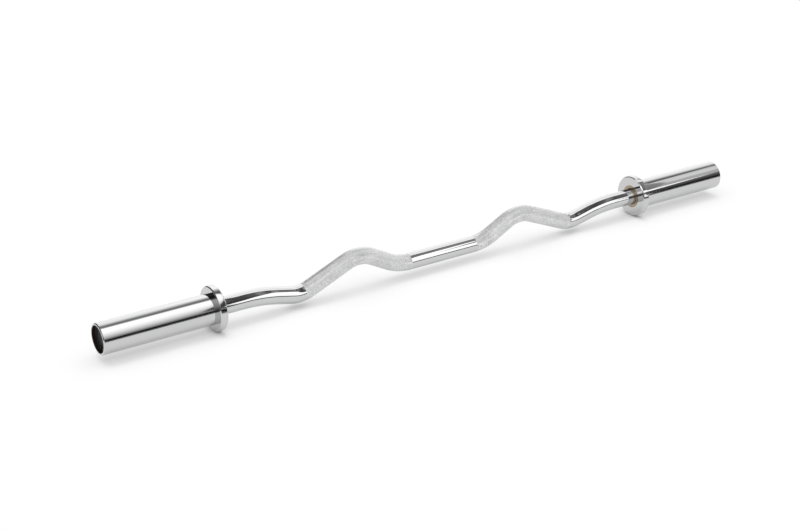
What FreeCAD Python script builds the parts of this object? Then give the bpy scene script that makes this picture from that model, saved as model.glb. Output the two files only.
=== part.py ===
"""Curl bar for large-bore weight plates: a cambered steel shaft with a free-turning sleeve at each end.

Millimetres. +X runs along the bar, +Z is up, and the origin is on the floor under the middle of the bar,
which lies on its two collars with the humps of the grips upward.
"""
import FreeCAD
import Part
import Sketcher
import math
import os

SIZES = {
    # The shaft, from its middle outwards: where the bends' corners lie, then the radii of the bends
    "shaft_diameter": 28.0,
    "centre_half_length": 85.0,
    "centre_drop": 9.7,
    "inner_run": 74.0,
    "hump_rise": 29.3,
    "outer_run": 110.0,
    "dip_drop": 16.7,
    "return_run": 72.0,
    "end_run": 72.5,
    "centre_bend_radius": 85.0,
    "hump_bend_radius": 58.0,
    "dip_bend_radius": 56.0,
    "return_bend_radius": 270.0,
    # The journal turned at each end of the shaft
    "journal_step": 3.0,
    "journal_chamfer": 1.5,
    "journal_stub": 3.0,
    # The sleeve that carries the plates and the collar that stops them
    "load_length": 184.0,
    "sleeve_wall": 3.7,
    "sleeve_spigot_step": 0.7,
    "mouth_chamfer": 1.2,
    "mouth_bore_chamfer": 0.6,
    "collar_flange": 11.3,
    "collar_width": 12.5,
    "collar_lip": 3.0,
    "collar_chamfer": 1.4,
    # The two bronze bushings in each sleeve
    "bushing_wall": 6.93,
    "inner_bushing_length": 40.0,
    "inner_bushing_step": 1.2,
    "outer_bushing_length": 35.0,
    "bushing_chamfer": 0.8,
    # Thrust washers and retaining rings
    "washer_thickness": 2.0,
    "shaft_ring_thickness": 1.2,
    "shaft_ring_width": 3.2,
    "shaft_lug_reach": 4.8,
    "shaft_groove_depth": 0.5,
    "bore_ring_thickness": 1.75,
    "bore_ring_width": 4.6,
    "bore_lug_reach": 7.2,
    "bore_groove_depth": 1.25,
    "ring_gap": 5.0,
    "lug_width": 4.5,
    "lug_hole_diameter": 2.0,
    # The cap that closes the mouth
    "cap_recess": 5.0,
    "cap_face": 4.0,
    "cap_skirt": 2.4,
    "cap_dish_radius": 13.0,
    "cap_dish_slope": 0.8,
    "cap_dish_depth": 0.8,
    # Clearances: turning fit, seat, washer bore and rim, end float of the sleeve, ring groove, under the cap
    "running_gap": 0.05,
    "seat_gap": 0.02,
    "washer_gap": 0.1,
    "washer_room": 1.5,
    "end_float": 0.2,
    "groove_room": 0.1,
    "cap_room": 3.0,
}
SHEET = "sizes"
SIDES = {"left": -1, "right": 1}
FULL_TURN = 360.0
HALF_TURN = 180.0
CUT_MARGIN = 2.0
UP = FreeCAD.Vector(0, 0, 1)


class Length:
    """A length in millimetres together with the sheet expression that gives it."""

    def __init__(self, value, text):
        self.value = value
        self.text = text

    def __add__(self, other):
        return Length(self.value + other.value, f"({self.text} + {other.text})")

    def __sub__(self, other):
        return Length(self.value - other.value, f"({self.text} - {other.text})")

    def __mul__(self, factor):
        return Length(self.value * factor, f"({self.text} * {factor})")

    def __truediv__(self, divisor):
        return Length(self.value / divisor, f"({self.text} / {divisor})")

    def __neg__(self):
        return Length(-self.value, f"(-{self.text})")


def size(name):
    return Length(SIZES[name], f"{SHEET}.{name}")


ZERO = Length(0.0, "0")
margin = Length(CUT_MARGIN, str(CUT_MARGIN))

# Radii about the bar's axis, from the shaft outwards
shaft_radius = size("shaft_diameter") / 2
journal_radius = shaft_radius - size("journal_step")
shaft_groove_radius = journal_radius - size("shaft_groove_depth")
washer_bore_radius = journal_radius + size("washer_gap")
bushing_bore_radius = shaft_radius + size("running_gap")
bushing_radius = bushing_bore_radius + size("bushing_wall")
bushing_nose_radius = bushing_radius - size("inner_bushing_step")
cap_cavity_radius = bushing_radius - size("cap_skirt")
bore_radius = bushing_radius + size("seat_gap")
bore_groove_radius = bore_radius + size("bore_groove_depth")
bore_ring_inner = bore_groove_radius - size("bore_ring_width")
sleeve_radius = bore_radius + size("sleeve_wall")
spigot_radius = sleeve_radius - size("sleeve_spigot_step")
collar_radius = sleeve_radius + size("collar_flange")

# Places along the bar, measured outwards from its middle
centre_corner = size("centre_half_length")
hump_corner = centre_corner + size("inner_run")
dip_corner = hump_corner + size("outer_run")
return_corner = dip_corner + size("return_run")
collar_inner = return_corner + size("end_run")
collar_outer = collar_inner + size("collar_width")
sleeve_inner = collar_inner + size("collar_lip") + size("seat_gap")
mouth = collar_outer + size("load_length")
cap_ring_front = mouth - size("cap_recess")
cap_ring_back = cap_ring_front - size("bore_ring_thickness")
cap_cavity_end = cap_ring_back - size("cap_face")
shaft_end = cap_cavity_end - size("cap_room")
shaft_ring_front = shaft_end - size("journal_stub")
shaft_ring_back = shaft_ring_front - size("shaft_ring_thickness")
end_washer_back = shaft_ring_back - size("washer_thickness")
outer_bushing_front = end_washer_back - size("end_float")
outer_bushing_back = outer_bushing_front - size("outer_bushing_length")
bushing_ring_back = outer_bushing_back - size("bore_ring_thickness")
shoulder = outer_bushing_back - size("end_float") - size("washer_thickness")


def fill_sheet(doc):
    """The driving sizes, one row each, the value beside its name."""
    sheet = doc.addObject("Spreadsheet::Sheet", SHEET)
    for row, (name, value) in enumerate(SIZES.items(), start=1):
        sheet.set(f"A{row}", name)
        sheet.set(f"B{row}", str(value))
        sheet.setAlias(f"B{row}", name)
    doc.recompute()


def new_body(doc, label):
    body = doc.addObject("PartDesign::Body", label)
    body.Label = label
    return body


def origin_plane(body, role):
    return [feature for feature in body.Origin.OriginFeatures if feature.Role == role][0]


def new_sketch(body, name, role):
    sketch = body.newObject("Sketcher::SketchObject", f"{body.Label}_{name}")
    sketch.AttachmentSupport = [(origin_plane(body, role), "")]
    sketch.MapMode = "FlatFace"
    return sketch


def flat(point):
    return FreeCAD.Vector(point[0].value, point[1].value, 0)


def bind(sketch, length, *constraint):
    index = sketch.addConstraint(Sketcher.Constraint(*constraint, length.value))
    sketch.setExpression(f"Constraints[{index}]", length.text)


def tie(sketch, geometry, end, point):
    """Ties one point of a sketch to the sketch's origin, on the side of each axis where it lies."""
    for kind, length, axis in (("DistanceX", point[0], -2), ("DistanceY", point[1], -1)):
        if length is ZERO:
            sketch.addConstraint(Sketcher.Constraint("PointOnObject", geometry, end, axis))
        elif length.value < 0:
            bind(sketch, -length, kind, geometry, end, -1, 1)
        else:
            bind(sketch, length, kind, -1, 1, geometry, end)


def draw_outline(sketch, corners):
    """A closed outline of straight edges, every corner tied to the sheet."""
    count = len(corners)
    for start, end in zip(corners, corners[1:] + corners[:1]):
        sketch.addGeometry(Part.LineSegment(flat(start), flat(end)))
    for edge, corner in enumerate(corners):
        sketch.addConstraint(Sketcher.Constraint("Coincident", edge, 2, (edge + 1) % count, 1))
        tie(sketch, edge, 1, corner)


def draw_circle(sketch, centre, radius):
    circle = sketch.addGeometry(Part.Circle(flat(centre), UP, radius.value))
    tie(sketch, circle, 3, centre)
    bind(sketch, radius, "Radius", circle)


def spin(body, kind, name, corners):
    """An outline of (place along the axis, radius) spun about the bar's axis, to add or to turn away."""
    sketch = new_sketch(body, f"{name}_outline", "XZ_Plane")
    draw_outline(sketch, corners)
    feature = body.newObject(kind, f"{body.Label}_{name}")
    feature.Profile = sketch
    feature.ReferenceAxis = (sketch, ["H_Axis"])
    feature.Angle = FULL_TURN
    return feature


def set_on_bar(body, side, along):
    """Puts a piece on the bar's axis at its place; the pieces of the left-hand end face the other way."""
    turn = HALF_TURN if side < 0 else 0.0
    body.Placement = FreeCAD.Placement(FreeCAD.Vector(), FreeCAD.Rotation(UP, turn))
    body.setExpression("Placement.Base.x", (along * side).text)
    body.setExpression("Placement.Base.z", collar_radius.text)
    return body


def turned_piece(doc, label, side, along, corners):
    body = new_body(doc, label)
    spin(body, "PartDesign::Revolution", "turned", corners)
    return set_on_bar(body, side, along)


def bend(before, corner, after, radius):
    """The arc that rounds a corner, with its ends numbered in the order in which the path meets them."""
    back = (before - corner).normalize()
    ahead = (after - corner).normalize()
    half_angle = back.getAngle(ahead) / 2
    reach = radius / math.tan(half_angle)
    entry = corner + back * reach
    leave = corner + ahead * reach
    centre = corner + (back + ahead).normalize() * (radius / math.sin(half_angle))
    turns_left = back.cross(ahead).z < 0
    first, last = (entry, leave) if turns_left else (leave, entry)
    angles = [math.atan2(point.y - centre.y, point.x - centre.x) for point in (first, last)]
    arc = Part.ArcOfCircle(Part.Circle(centre, UP, radius), *angles)
    return arc, entry, leave, (1, 2) if turns_left else (2, 1)


def draw_bent_path(sketch, corners, radii):
    """Straight runs from corner to corner, joined by tangent arcs; the corners and radii follow the sheet."""
    points = [flat(corner) for corner in corners]
    bends = [bend(*points[i:i + 3], radius.value) for i, radius in enumerate(radii)]
    starts = [points[0]] + [leave for _, _, leave, _ in bends]
    ends = [entry for _, entry, _, _ in bends] + [points[-1]]
    runs = [sketch.addGeometry(Part.LineSegment(*pair)) for pair in zip(starts, ends)]
    for i, (arc, _, _, (entry_end, leave_end)) in enumerate(bends):
        arc_index = sketch.addGeometry(arc)
        sketch.addConstraint(Sketcher.Constraint("Tangent", runs[i], 2, arc_index, entry_end))
        sketch.addConstraint(Sketcher.Constraint("Tangent", arc_index, leave_end, runs[i + 1], 1))
        bind(sketch, radii[i], "Radius", arc_index)
        corner_index = sketch.addGeometry(Part.Point(points[i + 1]), True)
        tie(sketch, corner_index, 1, corners[i + 1])
        for run in (runs[i], runs[i + 1]):
            sketch.addConstraint(Sketcher.Constraint("PointOnObject", corner_index, 1, run))
    tie(sketch, runs[0], 1, corners[0])
    tie(sketch, runs[-1], 2, corners[-1])


def build_shaft(doc):
    """Round steel bent in one plane, with both ends turned down to a grooved journal."""
    body = new_body(doc, "shaft")
    drop = -size("centre_drop")
    corners = [
        (ZERO, drop),
        (centre_corner, drop),
        (hump_corner, size("hump_rise")),
        (dip_corner, -size("dip_drop")),
        (return_corner, ZERO),
        (shaft_end, ZERO),
    ]
    radii = [size(f"{name}_bend_radius") for name in ("centre", "hump", "dip", "return")]
    path = new_sketch(body, "path", "XZ_Plane")
    draw_bent_path(path, corners, radii)
    section = new_sketch(body, "section", "YZ_Plane")
    draw_circle(section, (ZERO, drop), shaft_radius)
    stock = body.newObject("PartDesign::AdditivePipe", "shaft_stock")
    stock.Profile = section
    stock.Spine = (path, [])

    clear_radius = shaft_radius + margin
    groove_back = shaft_ring_back - size("groove_room")
    journal = spin(body, "PartDesign::Groove", "journal", [
        (shoulder, journal_radius),
        (groove_back, journal_radius),
        (groove_back, shaft_groove_radius),
        (shaft_ring_front, shaft_groove_radius),
        (shaft_ring_front, journal_radius),
        (shaft_end - size("journal_chamfer"), journal_radius),
        (shaft_end, journal_radius - size("journal_chamfer")),
        (shaft_end + margin, journal_radius - size("journal_chamfer")),
        (shaft_end + margin, clear_radius),
        (shoulder, clear_radius),
    ])
    whole = body.newObject("PartDesign::Mirrored", "shaft_whole")
    whole.Originals = [stock, journal]
    whole.MirrorPlane = (origin_plane(body, "YZ_Plane"), [""])
    body.Tip = whole
    body.setExpression("Placement.Base.z", collar_radius.text)
    return body


def build_sleeve(doc, name, side):
    """Tube whose turned-down end sits in the collar and whose bore is grooved for two retaining rings."""
    length = mouth - sleeve_inner
    spigot_length = collar_outer - sleeve_inner
    grooves = [
        (cap_ring_front - sleeve_inner, cap_ring_back - size("groove_room") - sleeve_inner),
        (outer_bushing_back + size("groove_room") - sleeve_inner, bushing_ring_back - sleeve_inner),
    ]
    corners = [
        (ZERO, bore_radius),
        (ZERO, spigot_radius),
        (spigot_length, spigot_radius),
        (spigot_length, sleeve_radius),
        (length - size("mouth_chamfer"), sleeve_radius),
        (length, sleeve_radius - size("mouth_chamfer")),
        (length, bore_radius + size("mouth_bore_chamfer")),
        (length - size("mouth_bore_chamfer"), bore_radius),
    ]
    for front, back in grooves:
        corners += [
            (front, bore_radius),
            (front, bore_groove_radius),
            (back, bore_groove_radius),
            (back, bore_radius),
        ]
    return turned_piece(doc, f"{name}_sleeve", side, sleeve_inner, corners)


def build_collar(doc, name, side):
    """Flange with bevelled rims: the sleeve is welded into it and its lip holds back the inner bushing."""
    width = size("collar_width")
    bevel = size("collar_chamfer")
    lip_radius = bushing_nose_radius + size("seat_gap")
    seat_radius = spigot_radius + size("seat_gap")
    return turned_piece(doc, f"{name}_collar", side, collar_inner, [
        (ZERO, lip_radius),
        (ZERO, collar_radius - bevel),
        (bevel, collar_radius),
        (width - bevel, collar_radius),
        (width, collar_radius - bevel),
        (width, seat_radius),
        (size("collar_lip"), seat_radius),
        (size("collar_lip"), lip_radius),
    ])


def build_bushings(doc, name, side):
    """The inner bushing's nose fills the collar's lip, flush with its face; the outer one is a plain tube."""
    bevel = size("bushing_chamfer")
    inner_length = size("inner_bushing_length")
    outer_bore = journal_radius + size("running_gap")
    outer_length = size("outer_bushing_length")
    inner = turned_piece(doc, f"{name}_inner_bushing", side, collar_inner, [
        (bevel, bushing_bore_radius),
        (ZERO, bushing_bore_radius + bevel),
        (ZERO, bushing_nose_radius),
        (size("collar_lip"), bushing_nose_radius),
        (size("collar_lip"), bushing_radius),
        (inner_length, bushing_radius),
        (inner_length, bushing_bore_radius),
    ])
    outer = turned_piece(doc, f"{name}_outer_bushing", side, outer_bushing_back, [
        (ZERO, outer_bore),
        (ZERO, bushing_radius),
        (outer_length, bushing_radius),
        (outer_length, outer_bore),
    ])
    return [inner, outer]


def build_washer(doc, label, side, along, rim):
    """Flat steel ring on the journal that takes the end thrust of the outer bushing."""
    return turned_piece(doc, label, side, along, [
        (ZERO, washer_bore_radius),
        (ZERO, rim),
        (size("washer_thickness"), rim),
        (size("washer_thickness"), washer_bore_radius),
    ])


def build_ring(doc, label, side, along, thickness, inner, outer):
    """Blank of a spring-steel retaining ring, still closed."""
    return turned_piece(doc, label, side, along, [
        (ZERO, inner),
        (ZERO, outer),
        (thickness, outer),
        (thickness, inner),
    ])


def cut_through(body, name, draw):
    """A cut straight through a ring, of the shape that is drawn on its back face."""
    sketch = new_sketch(body, f"{name}_shape", "YZ_Plane")
    draw(sketch)
    cut = body.newObject("PartDesign::Pocket", f"{body.Label}_{name}")
    cut.Profile = sketch
    cut.Type = "ThroughAll"
    cut.Reversed = True


def cut_gap(body, near, far):
    """The gap at the ring's lowest point, between two radii, that lets it be sprung into its groove."""
    half_gap = size("ring_gap") / 2
    low = -(far + margin)
    high = -(near - margin)
    corners = [(-half_gap, low), (half_gap, low), (half_gap, high), (-half_gap, high)]
    cut_through(body, "gap", lambda sketch: draw_outline(sketch, corners))


def add_lugs(body, thickness, root, tip):
    """The two ears beside the gap, with the holes by which pliers open or close the ring."""
    half_gap = size("ring_gap") / 2
    half_width = half_gap + size("lug_width")
    low, high = (-tip, -root) if tip.value > root.value else (-root, -tip)
    shape = new_sketch(body, "lugs_shape", "YZ_Plane")
    draw_outline(shape, [(-half_width, low), (half_width, low), (half_width, high), (-half_width, high)])
    lugs = body.newObject("PartDesign::Pad", f"{body.Label}_lugs")
    lugs.Profile = shape
    lugs.setExpression("Length", thickness.text)
    hole_across = half_gap + size("lug_width") / 2
    hole_down = -(root + tip) / 2

    def draw_holes(sketch):
        for across in (-hole_across, hole_across):
            draw_circle(sketch, (across, hole_down), size("lug_hole_diameter") / 2)

    cut_through(body, "holes", draw_holes)


def build_rings(doc, name, side):
    """One ring in the journal's groove and two in the sleeve's bore, before and behind the outer bushing."""
    bore_outer = bore_groove_radius - size("seat_gap")
    bore_tip = bore_groove_radius - size("bore_lug_reach")
    shaft_inner = shaft_groove_radius + size("seat_gap")
    shaft_outer = shaft_inner + size("shaft_ring_width")
    shaft_tip = shaft_inner + size("shaft_lug_reach")
    bore_thickness = size("bore_ring_thickness")
    shaft_thickness = size("shaft_ring_thickness")

    shaft_ring = build_ring(
        doc, f"{name}_shaft_ring", side, shaft_ring_back, shaft_thickness, shaft_inner, shaft_outer)
    add_lugs(shaft_ring, shaft_thickness, shaft_inner + size("shaft_ring_width") / 2, shaft_tip)
    cut_gap(shaft_ring, shaft_inner, shaft_tip)

    cap_ring = build_ring(
        doc, f"{name}_cap_ring", side, cap_ring_back, bore_thickness, bore_ring_inner, bore_outer)
    add_lugs(cap_ring, bore_thickness, bore_outer - size("bore_ring_width") / 2, bore_tip)
    cut_gap(cap_ring, bore_tip, bore_outer)

    bushing_ring = build_ring(
        doc, f"{name}_bushing_ring", side, bushing_ring_back, bore_thickness, bore_ring_inner, bore_outer)
    cut_gap(bushing_ring, bore_ring_inner, bore_outer)
    return [shaft_ring, cap_ring, bushing_ring]


def build_cap(doc, name, side):
    """Moulded cup: its skirt stands on the outer bushing and its dished face is kept in by the cap ring."""
    length = cap_ring_back - outer_bushing_front
    cavity = cap_cavity_end - outer_bushing_front
    dish_floor = length - size("cap_dish_depth")
    return turned_piece(doc, f"{name}_end_cap", side, outer_bushing_front, [
        (ZERO, cap_cavity_radius),
        (ZERO, bushing_radius),
        (length, bushing_radius),
        (length, size("cap_dish_radius") + size("cap_dish_slope")),
        (dish_floor, size("cap_dish_radius")),
        (dish_floor, ZERO),
        (cavity, ZERO),
        (cavity, cap_cavity_radius),
    ])


def build_end(doc, name, side):
    """Everything that one end of the bar carries."""
    shoulder_rim = bore_ring_inner - size("washer_room")
    end_rim = cap_cavity_radius - size("washer_room")
    pieces = [
        build_sleeve(doc, name, side),
        build_collar(doc, name, side),
        build_washer(doc, f"{name}_shoulder_washer", side, shoulder, shoulder_rim),
        build_washer(doc, f"{name}_end_washer", side, end_washer_back, end_rim),
        build_cap(doc, name, side),
    ]
    pieces += build_bushings(doc, name, side)
    pieces += build_rings(doc, name, side)
    return pieces


def write_pieces(doc, pieces):
    """Every piece goes to a file of its own, once all of them have been built without fault."""
    faults = [item.Label for item in doc.Objects if {"Invalid", "Error"} & set(item.State)]
    faults += [piece.Label for piece in pieces if piece.Shape.isNull() or not piece.Shape.isValid()]
    if faults:
        raise ValueError(f"not built: {', '.join(faults)}")
    os.makedirs("parts", exist_ok=True)
    for piece in pieces:
        piece.Shape.exportStep(f"parts/{piece.Label}.step")


document = FreeCAD.newDocument("curl_bar")
fill_sheet(document)
bar_pieces = [build_shaft(document)]
for side_name, side_sign in SIDES.items():
    bar_pieces += build_end(document, side_name, side_sign)
document.recompute()
write_pieces(document, bar_pieces)
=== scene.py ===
"""Looks of the curl bar: chromed steel, bronze bearings and a black plastic cap in each sleeve."""
import math

import bmesh
import bpy
from mathutils import Matrix, Vector


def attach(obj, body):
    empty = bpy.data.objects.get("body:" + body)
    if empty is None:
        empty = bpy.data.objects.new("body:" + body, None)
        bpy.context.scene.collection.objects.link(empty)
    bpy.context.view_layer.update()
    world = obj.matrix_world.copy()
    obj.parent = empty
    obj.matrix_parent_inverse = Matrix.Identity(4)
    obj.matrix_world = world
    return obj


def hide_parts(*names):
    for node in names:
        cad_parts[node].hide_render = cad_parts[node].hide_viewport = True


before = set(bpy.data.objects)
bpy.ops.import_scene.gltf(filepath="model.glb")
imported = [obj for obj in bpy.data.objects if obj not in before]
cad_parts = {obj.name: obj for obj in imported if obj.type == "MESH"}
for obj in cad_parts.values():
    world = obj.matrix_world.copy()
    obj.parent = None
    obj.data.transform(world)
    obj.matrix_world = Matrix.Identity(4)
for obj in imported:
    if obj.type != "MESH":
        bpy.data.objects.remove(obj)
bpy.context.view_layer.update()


# The shaft: one length of 28 mm round steel, bent cold in one plane into a shallow W and turned down at both
# ends to the journals that the outer bushings run on. Two stretches over the humps are rolled with a diamond
# knurl, and then the whole bar is polished and chromed.
MM = 0.001
AROUND = 140
AXIS_HEIGHT = 36 * MM
shaft_radius = 14 * MM
camber = [(0, -9.7), (85, -9.7), (159, 29.3), (269, -16.7), (341, 0), (552.65, 0)]
bend_radii = [85, 58, 56, 270]
bend_step = 2.0
knurl_start = 65.0
knurl_end = 277.0
knurl_step = 0.95
knurl_depth = 0.16
journal = [
    (552.65, 11), (591.95, 11), (591.95, 10.5), (593.25, 10.5), (593.25, 11), (594.75, 11), (596.25, 9.5),
]


def bend_moves(corners, radii):
    """The shaft as straight and bent lengths in turn, from its middle outwards: (length, turn, radius)."""
    points = [Vector(corner) for corner in corners]
    ways = [end - start for start, end in zip(points, points[1:])]
    slopes = [math.atan2(way.y, way.x) for way in ways]
    turns = [after - before for before, after in zip(slopes, slopes[1:])]
    reaches = [radius * math.tan(abs(turn) / 2) for turn, radius in zip(turns, radii)]
    moves = []
    for way, used, kept in zip(ways, [0] + reaches, reaches + [0]):
        moves.append((way.length - used - kept, 0.0, 0.0))
        if len(moves) < 2 * len(ways) - 1:
            index = len(moves) // 2
            moves.append((radii[index] * abs(turns[index]), turns[index], radii[index]))
    return moves


def station(moves, distance):
    """The place and direction of the shaft's section at a distance along its middle line, in millimetres."""
    place = Matrix.Translation((0, 0, camber[0][1]))
    for length, turn, radius in moves:
        part = min(distance, length)
        if turn:
            centre = Matrix.Translation((0, 0, math.copysign(radius, turn)))
            place = place @ centre @ Matrix.Rotation(-turn * part / length, 4, "Y") @ centre.inverted()
        else:
            place = place @ Matrix.Translation((part, 0, 0))
        distance -= part
        if distance <= 0:
            break
    return place


def stops_along(moves):
    """Where the sections lie: close together for the knurl, a few to each bend, and at the ends of runs."""
    knurl_rows = 2 * round((knurl_end - knurl_start) / knurl_step / 2)
    stops = [knurl_start + (knurl_end - knurl_start) * row / knurl_rows for row in range(knurl_rows + 1)]
    reached = 0.0
    for length, turn, _ in moves:
        pieces = math.ceil(length / bend_step) if turn else 1
        plain = [reached + length * piece / pieces for piece in range(pieces + 1)]
        margin = bend_step / 2
        stops += [stop for stop in plain if not knurl_start - margin < stop < knurl_end + margin]
        reached += length
    return sorted({round(stop, 4) for stop in stops})


def next_ring(bm, edges, move):
    """Draws a ring of edges out into a band and moves its rim; gives the rim's edges, corners and band."""
    made = bmesh.ops.extrude_edge_only(bm, edges=edges)["geom"]
    corners = [item for item in made if isinstance(item, bmesh.types.BMVert)]
    rim = set(corners)
    bmesh.ops.transform(bm, matrix=move, verts=corners)
    edges = [item for item in made if isinstance(item, bmesh.types.BMEdge) and rim.issuperset(item.verts)]
    return edges, corners, [item for item in made if isinstance(item, bmesh.types.BMFace)]


def build_shaft():
    bm = bmesh.new()
    seat = bm.verts.layers.int.new("seat")
    moves = bend_moves(camber, bend_radii)
    stops = stops_along(moves)
    here = station(moves, stops[0])
    circle = bmesh.ops.create_circle(
        bm, segments=AROUND, radius=shaft_radius / MM, matrix=here @ Matrix.Rotation(math.pi / 2, 4, "Y"))
    for index, corner in enumerate(circle["verts"]):
        corner[seat] = index
    edges = list(bm.edges)
    knurled = []
    valleys = []
    for row, (before, stop) in enumerate(zip(stops, stops[1:])):
        there = station(moves, stop)
        edges, corners, band = next_ring(bm, edges, there @ here.inverted())
        here = there
        for face in band:
            face.smooth = True
        if knurl_start <= before and stop <= knurl_end:
            knurled += band
            if stop < knurl_end:
                valleys.append((here.translation, [corner for corner in corners if (corner[seat] + row) % 2]))
    sunk = 1 - knurl_depth * MM / shaft_radius
    for centre, corners in valleys:
        bmesh.ops.scale(bm, vec=(sunk,) * 3, space=Matrix.Translation(-centre), verts=corners)
    bmesh.ops.triangulate(bm, faces=knurled, quad_method="SHORT_EDGE")
    for face in bm.faces:
        if len(face.verts) == 3:
            face.material_index = 1
            face.smooth = False
    reached, radius = camber[-1][0], shaft_radius / MM
    for along, turned_radius in journal:
        for edge in edges:
            edge.smooth = False
        shrink = Matrix.Diagonal((1, turned_radius / radius, turned_radius / radius, 1))
        edges, corners, band = next_ring(bm, edges, Matrix.Translation((along - reached, 0, 0)) @ shrink)
        for face in band:
            face.smooth = along > reached
        reached, radius = along, turned_radius
    bmesh.ops.edgeloop_fill(bm, edges=edges)
    bmesh.ops.mirror(bm, geom=bm.verts[:] + bm.edges[:] + bm.faces[:], axis="X", merge_dist=0.001)
    bmesh.ops.recalc_face_normals(bm, faces=bm.faces)
    bmesh.ops.scale(bm, vec=(MM,) * 3, verts=bm.verts)
    bmesh.ops.translate(bm, vec=(0, 0, AXIS_HEIGHT), verts=bm.verts)
    return as_piece(bm, "bent_shaft")


def as_piece(bm, name):
    """Turns a finished bmesh into an object of the scene, at the origin."""
    mesh = bpy.data.meshes.new(name)
    bm.to_mesh(mesh)
    bm.free()
    piece = bpy.data.objects.new(name, mesh)
    bpy.context.scene.collection.objects.link(piece)
    return piece


class Tone:
    """A socket of a node tree: sums and products of it add Math nodes, and node() adds any other."""

    def __init__(self, tree, socket=None):
        self.tree = tree
        self.socket = socket

    def node(self, kind, settings=None, sockets=None, output=0):
        made = self.tree.nodes.new(kind)
        for name, value in (settings or {}).items():
            if name == "stops":
                ramp = made.color_ramp.elements
                while len(ramp) < len(value):
                    ramp.new(1.0)
                for element, (position, shade) in zip(ramp, value):
                    element.position = position
                    element.color = (*shade, 1.0)
            else:
                setattr(made, name, value)
        for name, value in (sockets or {}).items():
            if isinstance(value, Tone):
                self.tree.links.new(value.socket, made.inputs[name])
            else:
                made.inputs[name].default_value = value
        return Tone(self.tree, made.outputs[output] if made.outputs else None)

    def math(self, operation, *values):
        return self.node("ShaderNodeMath", {"operation": operation}, dict(enumerate(values)))

    def __add__(self, other):
        return self.math("ADD", self, other)

    def __sub__(self, other):
        return self.math("SUBTRACT", self, other)

    def __mul__(self, other):
        return self.math("MULTIPLY", self, other)

    def __rsub__(self, other):
        return self.math("SUBTRACT", other, self)

    __radd__ = __add__
    __rmul__ = __mul__


def new_finish(name):
    """An empty material and the place to start its nodes from."""
    finish = bpy.data.materials.new(name)
    finish.use_nodes = True
    finish.node_tree.nodes.clear()
    return finish, Tone(finish.node_tree)


def coat_with(start, **sockets):
    """Ends a material in one Principled surface with the values that are given."""
    named = {name.replace("_", " "): value for name, value in sockets.items()}
    surface = start.node("ShaderNodeBsdfPrincipled", {}, named)
    start.node("ShaderNodeOutputMaterial", {}, {"Surface": surface})


def marks_of(start, stretch, scale, detail):
    """Noise on the piece's own coordinates, drawn out along some of them."""
    place = start.node("ShaderNodeTexCoord", output="Object")
    drawn = start.node("ShaderNodeMapping", {}, {"Vector": place, "Scale": stretch})
    return start.node("ShaderNodeTexNoise", {}, {"Vector": drawn, "Scale": scale, "Detail": detail})


def chrome_finish(name, colour, shine, haze, polish):
    """Bright plate: buffing lines that run round the bar, and a breath of haze in patches."""
    finish, start = new_finish(name)
    lines = marks_of(start, (900, 14, 14), 1.0, 3.0)
    patches = marks_of(start, (1, 1, 1), 34.0, 2.0)
    rough = shine + haze * patches * patches + polish * lines
    bump = start.node("ShaderNodeBump", {}, {"Strength": 0.02, "Distance": 0.00002, "Height": lines})
    coat_with(start, Base_Color=colour, Metallic=1.0, Roughness=rough, Normal=bump)
    return finish


def knurl_finish():
    """The plate over the knurl is duller than the smooth chrome, more so in patches, and its colour is paler
    and speckled: a painted sheen and sparkle of the knurl's facets.
    """
    finish, start = new_finish("knurled_chrome")
    sparkle_speckle = marks_of(start, (1, 1, 1), 480.0, 3.0)
    patches = marks_of(start, (1, 1, 1), 60.0, 2.0)
    # Paler, speckled plate colour: painted sheen and sparkle of the knurl's facets.
    shade = start.node("ShaderNodeMix", {"data_type": "RGBA"}, {
        0: 2.1 * sparkle_speckle + 0.6 * patches - 0.85,
        6: (0.50, 0.50, 0.503, 1.0), 7: (0.82, 0.82, 0.824, 1.0)}, output=2)
    coat_with(start, Base_Color=shade, Metallic=1.0, Roughness=0.33 + 0.15 * patches)
    return finish


CHROME = (0.58, 0.581, 0.584, 1.0)
chrome = chrome_finish("bright_chrome", CHROME, shine=0.035, haze=0.05, polish=0.03)
shaft = build_shaft()
shaft.data.materials.append(chrome)
shaft.data.materials.append(knurl_finish())
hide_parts("shaft")
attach(shaft, "bar")


# The sleeves: steel tubes bored for two bushings and grooved inside for two retaining rings. One end is
# turned down to sit in the collar, the other is the open mouth, with its edges broken. The plating stops at
# the mouth. Inside it the bored steel is coloured almost black, a painted shade of the recess, over a brown
# tint of oil.
SIDES = {"left": -1, "right": 1}
SHARP = math.radians(20)


def turned(name, side, outline, rounding, lining=0.0):
    """Spins an outline of (distance from the bar's middle, radius), in millimetres, and rounds its corners.

    Faces nearer to the axis than the lining's radius take the piece's second material."""
    bm = bmesh.new()
    corners = [bm.verts.new((side * along, 0, radius)) for along, radius in outline]
    edges = [bm.edges.new(pair) for pair in zip(corners, corners[1:] + corners[:1])]
    bmesh.ops.spin(
        bm, geom=corners + edges, cent=(0, 0, 0), axis=(1, 0, 0), angle=2 * math.pi, steps=AROUND,
        use_merge=True)
    bmesh.ops.remove_doubles(bm, verts=bm.verts, dist=0.0001)
    bmesh.ops.recalc_face_normals(bm, faces=bm.faces)
    ridges = [edge for edge in bm.edges if edge.is_manifold and edge.calc_face_angle() > SHARP]
    bmesh.ops.bevel(
        bm, geom=ridges, offset=rounding, affect="EDGES", segments=2, profile=0.5, material=-1,
        clamp_overlap=True)
    for face in bm.faces:
        face.smooth = True
        face.material_index = int(face.calc_center_median().yz.length < lining)
    bmesh.ops.scale(bm, vec=(MM,) * 3, verts=bm.verts)
    bmesh.ops.translate(bm, vec=(0, 0, AXIS_HEIGHT), verts=bm.verts)
    piece = as_piece(bm, name)
    piece.modifiers.new("even_shading", "WEIGHTED_NORMAL").keep_sharp = True
    return piece


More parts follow.
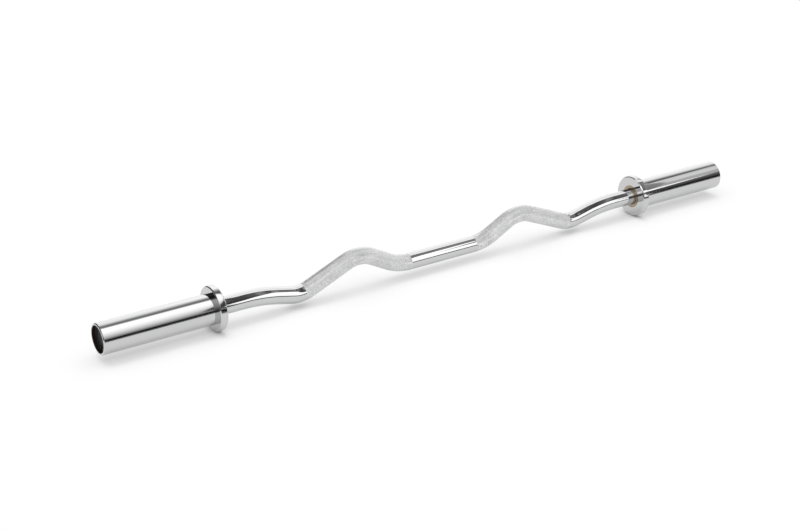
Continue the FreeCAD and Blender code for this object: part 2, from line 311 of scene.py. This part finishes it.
sleeve_outline = [
    (416.52, 21), (416.52, 24), (426, 24), (426, 24.7), (608.8, 24.7), (610, 23.5), (610, 21.6), (609.4, 21),
    (605, 21), (605, 22.25), (603.15, 22.25), (603.15, 21), (554.95, 21), (554.95, 22.25), (553.1, 22.25),
    (553.1, 21),
]
bore_edge = 22.3


def bore_finish():
    finish, start = new_finish("bore_oil_and_painted_shade")
    rings = marks_of(start, (2600, 30, 30), 1.0, 2.0)
    shade_mottle = marks_of(start, (1, 1, 1), 120.0, 3.0)
    # Almost black: painted shade of the recess inside the mouth, with a brown tint of oil.
    shade = start.node("ShaderNodeMix", {"data_type": "RGBA"}, {
        0: shade_mottle, 6: (0.030, 0.021, 0.018, 1.0), 7: (0.075, 0.052, 0.044, 1.0)}, output=2)
    coat_with(start, Base_Color=shade, Metallic=0.8, Roughness=0.3 + 0.2 * rings)
    return finish


bore = bore_finish()
for end, side in SIDES.items():
    sleeve = turned(f"{end}_plate_sleeve", side, sleeve_outline, rounding=0.15, lining=bore_edge)
    sleeve.data.materials.append(chrome)
    sleeve.data.materials.append(bore)
    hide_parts(f"{end}_sleeve")
    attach(sleeve, f"{end}_sleeve_unit")


# The collars: flanges turned from bar, both rims bevelled, that stop the plates. The sleeve is welded into
# each one and then the two are polished and plated together.
collar_outline = [
    (413.5, 19.8), (413.5, 34.6), (414.9, 36), (424.6, 36), (426, 34.6), (426, 24.02), (416.5, 24.02),
    (416.5, 19.8),
]
for end, side in SIDES.items():
    collar = turned(f"{end}_stop_collar", side, collar_outline, rounding=0.2)
    collar.data.materials.append(chrome)
    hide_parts(f"{end}_collar")
    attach(collar, f"{end}_sleeve_unit")


# The inner bushings: bearing bronze, turned, pressed into the sleeve with the nose flush in the collar's
# face. Oil and handling have browned the end that shows round the shaft.
tool_feed = 0.35 * MM
bushing_outline = [
    (414.3, 14.05), (413.5, 14.85), (413.5, 19.78), (416.5, 19.78), (416.5, 20.98), (453.5, 20.98),
    (453.5, 14.05),
]


def bronze_finish():
    finish, start = new_finish("bearing_bronze")
    place = start.node("ShaderNodeTexCoord", output="Object")
    apart = start.node("ShaderNodeMapping", {}, {"Vector": place, "Location": (0, 0, -AXIS_HEIGHT)})
    across = start.node("ShaderNodeVectorMath", {"operation": "MULTIPLY"}, {0: apart, 1: (0, 1, 1)})
    radius = start.node("ShaderNodeVectorMath", {"operation": "LENGTH"}, {0: across}, output=1)
    tool_marks = start.math("SINE", radius * (2 * math.pi / tool_feed))
    stain = marks_of(start, (1, 1, 1), 240.0, 4.0)
    shade = start.node("ShaderNodeMix", {"data_type": "RGBA"}, {
        0: stain, 6: (0.24, 0.190, 0.135, 1.0), 7: (0.44, 0.362, 0.270, 1.0)}, output=2)
    bump = start.node("ShaderNodeBump", {}, {"Strength": 0.12, "Distance": 0.00004, "Height": tool_marks})
    coat_with(start, Base_Color=shade, Metallic=1.0, Roughness=0.14 + 0.14 * stain, Normal=bump)
    return finish


bronze = bronze_finish()
for end, side in SIDES.items():
    bushing = turned(f"{end}_bronze_bushing", side, bushing_outline, rounding=0.12)
    bushing.data.materials.append(bronze)
    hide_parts(f"{end}_inner_bushing")
    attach(bushing, f"{end}_sleeve_unit")


# The bearings' inner parts stay as they were machined: plain bronze outer bushings, ground steel washers and
# retaining rings of phosphated spring steel, all of them inside the sleeves.
def steel_finish():
    finish, start = new_finish("ground_steel")
    grind = marks_of(start, (300, 2200, 40), 1.0, 3.0)
    shade = start.node("ShaderNodeMix", {"data_type": "RGBA"}, {
        0: grind, 6: (0.46, 0.46, 0.47, 1.0), 7: (0.62, 0.62, 0.63, 1.0)}, output=2)
    coat_with(start, Base_Color=shade, Metallic=1.0, Roughness=0.2 + 0.2 * grind)
    return finish


def phosphate_finish():
    finish, start = new_finish("phosphated_spring_steel")
    grain = marks_of(start, (1, 1, 1), 1400.0, 3.0)
    shade = start.node("ShaderNodeMix", {"data_type": "RGBA"}, {
        0: grain, 6: (0.045, 0.043, 0.042, 1.0), 7: (0.13, 0.125, 0.12, 1.0)}, output=2)
    bump = start.node("ShaderNodeBump", {}, {"Strength": 0.2, "Distance": 0.00003, "Height": grain})
    coat_with(start, Base_Color=shade, Metallic=0.75, Roughness=0.34 + 0.16 * grain, Normal=bump)
    return finish


steel = steel_finish()
phosphate = phosphate_finish()
inside = {"outer_bushing": bronze, "shoulder_washer": steel, "end_washer": steel, "shaft_ring": phosphate,
          "bushing_ring": phosphate, "cap_ring": phosphate}
for end in SIDES:
    for part, finish in inside.items():
        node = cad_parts[f"{end}_{part}"]
        node.data.materials.clear()
        node.data.materials.append(finish)


# The end caps: black plastic cups, moulded with a dished face and a fine spark-eroded grain. Each stands on
# the outer bushing and is held in by the retaining ring in the mouth of the sleeve.
cap_outline = [
    (589.85, 18.58), (589.85, 20.98), (603.25, 20.98), (603.25, 13.8), (602.45, 13), (602.45, 3),
    (602.05, 2.6), (602.05, 0.001), (599.25, 0.001), (599.25, 18.58),
]


def plastic_finish():
    finish, start = new_finish("moulded_black_plastic")
    grain = marks_of(start, (1, 1, 1), 1800.0, 2.0)
    clouds = marks_of(start, (1, 1, 1), 90.0, 3.0)
    shade = start.node("ShaderNodeMix", {"data_type": "RGBA"}, {
        0: clouds, 6: (0.010, 0.009, 0.009, 1.0), 7: (0.024, 0.021, 0.020, 1.0)}, output=2)
    bump = start.node("ShaderNodeBump", {}, {"Strength": 0.35, "Distance": 0.00005, "Height": grain})
    coat_with(start, Base_Color=shade, Roughness=0.42 + 0.16 * grain, Normal=bump)
    return finish


plastic = plastic_finish()
for end, side in SIDES.items():
    cap = turned(f"{end}_mouth_cap", side, cap_outline, rounding=0.15)
    cap.data.materials.append(plastic)
    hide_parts(f"{end}_end_cap")
    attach(cap, f"{end}_sleeve_unit")


# The studio: a white paper floor in a softly lit room, softboxes hung over and in front of the bar with dark
# gaps between them, and one broad lamp overhead that throws the soft shadow. Close under the bar the paper's
# glow is dimmed as a painted contact shadow, and in reflections the paper is painted darker towards the
# camera.
FLOOR_WHITE = 0.90
floor_half_width = 12.0
floor_lift = 0.45
contact_reach = 12 * MM
paper_shade = (-0.50, -0.20)
shaded_paper = 0.12


def white_floor():
    bm = bmesh.new()
    bmesh.ops.create_grid(bm, x_segments=2, y_segments=2, size=floor_half_width)
    floor = as_piece(bm, "floor")
    finish, start = new_finish("white_paper")
    seen = start.node("ShaderNodeLightPath", output="Is Camera Ray")
    mirrored = start.node("ShaderNodeLightPath", output="Is Glossy Ray")
    cloudy = marks_of(start, (1, 1, 1), 0.7, 2.0)
    shade = start.node("ShaderNodeMix", {"data_type": "RGBA"}, {
        0: cloudy, 6: (FLOOR_WHITE,) * 3 + (1.0,), 7: (FLOOR_WHITE + 0.01,) * 3 + (1.0,)}, output=2)
    paper = start.node("ShaderNodeBsdfDiffuse", {}, {"Color": shade})
    glow = start.node("ShaderNodeEmission", {}, {"Color": (1, 1, 1, 1), "Strength": 1.0})
    # The glow is dimmed by ambient occlusion close to the bar: a painted contact shadow.
    clear = start.node("ShaderNodeAmbientOcclusion", {"samples": 4}, {"Distance": contact_reach}, output="AO")
    lift = (seen + mirrored) * clear * floor_lift
    lit = start.node("ShaderNodeMixShader", {}, {0: lift, 1: paper, 2: glow})
    place = start.node("ShaderNodeTexCoord", output="Object")
    depth = start.node("ShaderNodeSeparateXYZ", {}, {0: place}, output="Y")
    # Seen in reflections, the paper is painted darker towards the camera: a painted shade.
    bright = start.node("ShaderNodeMapRange", {"interpolation_type": "SMOOTHSTEP"}, {
        "Value": depth, "From Min": paper_shade[0], "From Max": paper_shade[1],
        "To Min": shaded_paper, "To Max": 1.0})
    shaded = start.node("ShaderNodeEmission", {}, {"Strength": 0.0})
    both = start.node("ShaderNodeMixShader", {}, {0: mirrored * (1 - bright), 1: lit, 2: shaded})
    start.node("ShaderNodeOutputMaterial", {}, {"Surface": both})
    floor.data.materials.append(finish)


band_level = 1.75
fill_level = 1.88
lamp_level = 0.55
lamp_spread = math.radians(24)
lamp_tilt = math.radians(-4)


def studio_lights():
    """Bands of light by the angle round the bar: 0 is level behind it, 90 overhead and 180 level in front.

    How far each band is lit along the bar goes by the direction's part along it, from -1 to 1."""
    backdrop = [
        (-180, 0.52), (-1, 0.52), (0, 0.80), (48, 0.74), (62, 0.36), (70, 0.14), (80, 0.05), (86, 0.0),
    ]
    overhead = [
        (70, 0.0), (82, 0.10), (88, 0.50), (93, 1.0), (108, 0.97), (122, 0.88), (136, 0.70), (150, 0.46),
        (163, 0.20), (173, 0.04), (180, 0.02),
    ]
    open_side = [
        (-1.0, 0.5), (-0.75, 0.25), (-0.62, 0.03), (-0.35, 0.03), (0.02, 0.12), (0.24, 1.0), (1.0, 1.0),
    ]
    reach = [
        (-1.0, 0.3), (-0.8, 0.3), (-0.62, 0.6), (-0.48, 0.85), (-0.36, 0.3), (-0.25, 0.08), (0.0, 0.14),
        (0.14, 0.3), (0.25, 0.3), (0.3, 0.08), (0.4, 0.05), (0.5, 0.1), (0.525, 0.2), (0.55, 0.2),
        (0.6, 0.07), (0.626, 0.08), (0.634, 0.22), (0.672, 0.22), (0.7, 0.12), (1.0, 0.3),
    ]
    ahead = [(142, 0.0), (160, 0.3), (180, 0.3)]
    ahead_reach = [(-1.0, 0.0), (-0.4, 0.0), (-0.12, 1.0), (0.2, 1.0), (0.32, 0.0), (1.0, 0.0)]
    far_end = [(-1.0, 0.0), (0.72, 0.0), (0.86, 0.24), (1.0, 0.24)]
    world = bpy.data.worlds.new("studio")
    bpy.context.scene.world = world
    world.use_nodes = True
    world.node_tree.nodes.clear()
    start = Tone(world.node_tree)

    def ramp(value, stops):
        greys = [(at, (level,) * 3) for at, level in stops]
        return start.node("ShaderNodeValToRGB", {"stops": greys}, {0: value})

    way = start.node("ShaderNodeTexCoord", output="Generated")
    length, depth, height = [start.node("ShaderNodeSeparateXYZ", {}, {0: way}, output=name) for name in "XYZ"]
    angle = start.math("ARCTAN2", height, depth) * (0.5 / math.pi) + 0.5
    behind, above, low = [
        ramp(angle, [(0.5 + at / 360, level) for at, level in band]) for band in (backdrop, overhead, ahead)]
    lit_back, along, lit_low, ended = [
        ramp(length * 0.5 + 0.5, [(0.5 + at / 2, level) for at, level in ends])
        for ends in (open_side, reach, ahead_reach, far_end)]
    seen = start.node("ShaderNodeLightPath", output="Is Camera Ray")
    mirrored = start.node("ShaderNodeLightPath", output="Is Glossy Ray")
    room = behind * lit_back + above * along + low * lit_low + ended
    bands = start.node("ShaderNodeBackground", {}, {"Color": room, "Strength": band_level})
    fill = start.node("ShaderNodeBackground", {}, {"Color": height * height, "Strength": fill_level})
    paper = start.node("ShaderNodeBackground", {}, {"Color": (1, 1, 1, 1), "Strength": 1.0})
    shone = start.node("ShaderNodeMixShader", {}, {0: mirrored, 1: fill, 2: bands})
    mixed = start.node("ShaderNodeMixShader", {}, {0: seen, 1: shone, 2: paper})
    start.node("ShaderNodeOutputWorld", {}, {"Surface": mixed})
    lamp = bpy.data.lights.new("overhead", "SUN")
    lamp.energy = lamp_level
    lamp.angle = lamp_spread
    overhead_lamp = bpy.data.objects.new("overhead", lamp)
    overhead_lamp.rotation_euler = (lamp_tilt, 0, 0)
    overhead_lamp.visible_glossy = False
    bpy.context.scene.collection.objects.link(overhead_lamp)


rig_height = 0.60
front_edge = -1.30
front_level = 1.65
rear_level = 1.2
flat = (0, 0)
upright = (90, 0)
slewed = (0, 21)
front_softboxes = [
    (front_level, (0.27, (front_edge - 0.40) / 2, rig_height), (0.14, -0.40 - front_edge), flat),
    (front_level, (0.43, (front_edge - 0.32) / 2, rig_height), (0.18, -0.32 - front_edge), flat),
    (front_level, (0.95, (front_edge - 0.72) / 2, rig_height), (0.86, -0.72 - front_edge), flat),
    (front_level, (0.67, front_edge, 0.37), (0.96, 0.46), upright),
    (front_level, (1.32, front_edge, 0.345), (0.34, 0.51), upright),
]
rear_softboxes = [
    (rear_level, (0.19, 0.175, rig_height), (0.66, 0.22), flat),
    (rear_level, (0.705, 0.16, rig_height), (0.37, 0.25), flat),
    (0.2, (0.40, 0.74, rig_height), (1.08, 0.91), flat),
]
right_sleeve_softboxes = [
    (0.65, (1.055, -0.115, rig_height), (0.24, 0.38), slewed),
    (0.35, (1.238, -0.591, rig_height), (0.24, 0.64), slewed),
]


def softbox_lights():
    """Softboxes by level, place, width and depth, tilt and turn; they show only in what they shine on."""
    hung = front_softboxes + rear_softboxes + right_sleeve_softboxes
    for level, place, (width, depth), (tilt, turn) in hung:
        lamp = bpy.data.lights.new("softbox", "AREA")
        lamp.shape = "RECTANGLE"
        lamp.size = width
        lamp.size_y = depth
        lamp.energy = level * math.pi * width * depth
        softbox = bpy.data.objects.new("softbox", lamp)
        softbox.location = place
        softbox.rotation_euler = (math.radians(tilt), 0, math.radians(turn))
        softbox.visible_camera = False
        softbox.visible_diffuse = False
        bpy.context.scene.collection.objects.link(softbox)


sleeve_glow = [
    (-3.2, 0.05), (-1.8, 0.20), (-0.953, 0.46), (-0.57, 0.70), (-0.344, 0.88), (-0.179, 0.97), (-0.029, 1.0),
    (0.019, 0.5), (0.077, 0.10), (0.2, 0.0),
]
sleeve_glow_level = 1.75
sleeve_glow_width = 1.6
sleeve_glow_middle = 0.25
sleeve_glow_edge = -0.183
edge_slope = 0.10
edge_curve = 0.115


def sleeve_softbox():
    """A long softbox over the left sleeve, brightest overhead, dimmer to the front, cut off at the collar."""
    front, rear = sleeve_glow[0][0], sleeve_glow[-1][0]
    lamp = bpy.data.lights.new("sleeve_softbox", "AREA")
    lamp.shape = "RECTANGLE"
    lamp.size = sleeve_glow_width
    lamp.size_y = rear - front
    lamp.energy = sleeve_glow_level * math.pi * lamp.size * lamp.size_y
    lamp.use_nodes = True
    lamp.node_tree.nodes.clear()
    start = Tone(lamp.node_tree)
    place = start.node("ShaderNodeNewGeometry", output="Position")
    along = start.node("ShaderNodeSeparateXYZ", {}, {0: place}, output="X")
    depth = start.node("ShaderNodeSeparateXYZ", {}, {0: place}, output="Y")
    edge = depth * depth * edge_curve - depth * edge_slope + sleeve_glow_edge
    inside = start.math("GREATER_THAN", edge, along)
    stops = [((at - front) / lamp.size_y, (level,) * 3) for at, level in sleeve_glow]
    fade = start.node("ShaderNodeValToRGB", {"stops": stops}, {0: (depth - front) * (1 / lamp.size_y)})
    glow = start.node("ShaderNodeEmission", {}, {"Color": fade * inside, "Strength": 1.0})
    start.node("ShaderNodeOutputLight", {}, {"Surface": glow})
    softbox = bpy.data.objects.new("sleeve_softbox", lamp)
    softbox.location = (sleeve_glow_middle, (front + rear) / 2, rig_height)
    softbox.visible_camera = False
    softbox.visible_diffuse = False
    bpy.context.scene.collection.objects.link(softbox)


white_floor()
studio_lights()
softbox_lights()
sleeve_softbox()


# The camera stands in front of the bar's left half and looks down on it, as in the photograph.
azimuth = math.radians(-33.468)
elevation = math.radians(24.242)
aim = Vector((-0.08085, 0, 0.02394))
distance = 2.55594
level_back = math.cos(elevation)
back = Vector((math.sin(azimuth) * level_back, -math.cos(azimuth) * level_back, math.sin(elevation)))
lens = bpy.data.cameras.new("camera")
lens.sensor_width = 36.0
lens.lens = 70.461
lens.clip_end = 100.0
camera = bpy.data.objects.new("camera", lens)
camera.location = aim + back * distance
camera.rotation_euler = (-back).to_track_quat("-Z", "Y").to_euler()
bpy.context.scene.collection.objects.link(camera)
bpy.context.scene.camera = camera
bpy.context.scene.view_settings.view_transform = "Standard"
